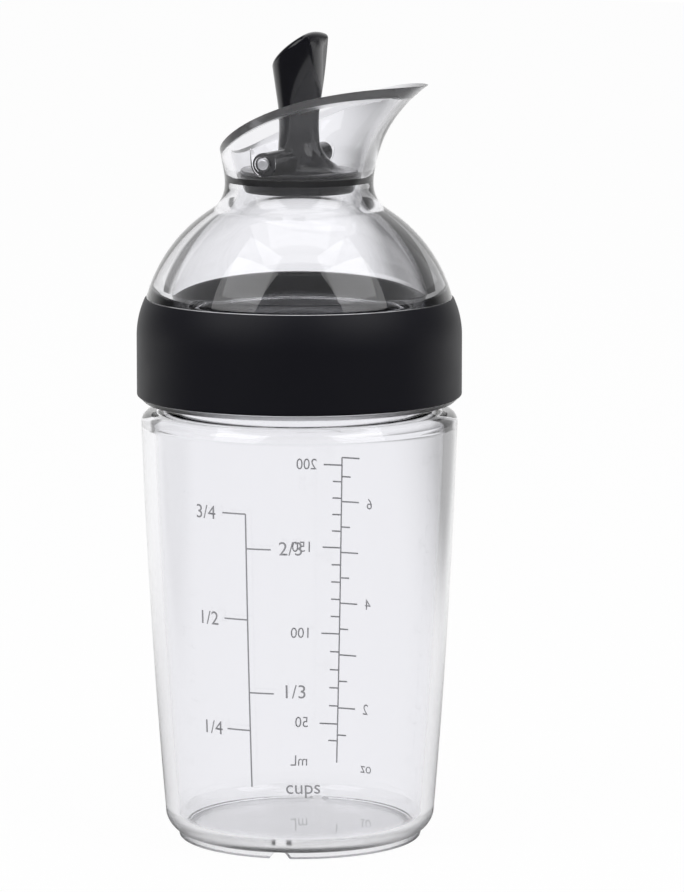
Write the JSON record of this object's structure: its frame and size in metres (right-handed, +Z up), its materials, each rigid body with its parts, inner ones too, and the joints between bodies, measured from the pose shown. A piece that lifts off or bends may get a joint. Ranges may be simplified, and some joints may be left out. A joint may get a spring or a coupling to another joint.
{
  "type": "salad dressing shaker bottle",
  "caption": "Clear shaker bottle with a screw-on domed lid, soft grip band, curved pouring spout and tilting lever stopper.",
  "frame": {"origin": "centre of the bottle's foot, on the table", "axes": "+Z up along the bottle's axis, +X towards the spout's lip"},
  "size_m": [0.069, 0.069, 0.1721],
  "materials": {
    "clear_plastic": "clear gloss",
    "soft_black": "matte",
    "clear_silicone": "satin",
    "gloss_black": "gloss",
    "black_silicone": "satin",
    "steel": "brushed"
  },
  "bodies": {
    "bottle": {"bottle": "clear_plastic"},
    "gasket": {"lid_gasket": "clear_silicone"},
    "lid": {"lid_shell": "clear_plastic", "grip_band": "soft_black"},
    "stopper": {"stopper_lever": "gloss_black", "stopper_seal": "black_silicone", "seal_cap": "gloss_black", "hinge_pin": "steel"}
  },
  "joints": [
    {"name": "lid_rise", "type": "slide", "parent": "bottle", "child": "gasket", "axis": [0, 0, 1], "range_m": [0, 0.0101]},
    {"name": "lid_turn", "type": "hinge", "parent": "gasket", "child": "lid", "pos_m": [0, 0, 0.0939], "axis": [0, 0, 1], "range_deg": [0, 450]},
    {"name": "stopper_tilt", "type": "hinge", "parent": "lid", "child": "stopper", "pos_m": [-0.001, 0, 0.1453], "axis": [0, -1, 0], "range_deg": [0, 65]}
  ],
  "couplings": [
    {"joint": "lid_rise", "follows": "lid_turn", "m_per_rad": 0.0012732}
  ]
}
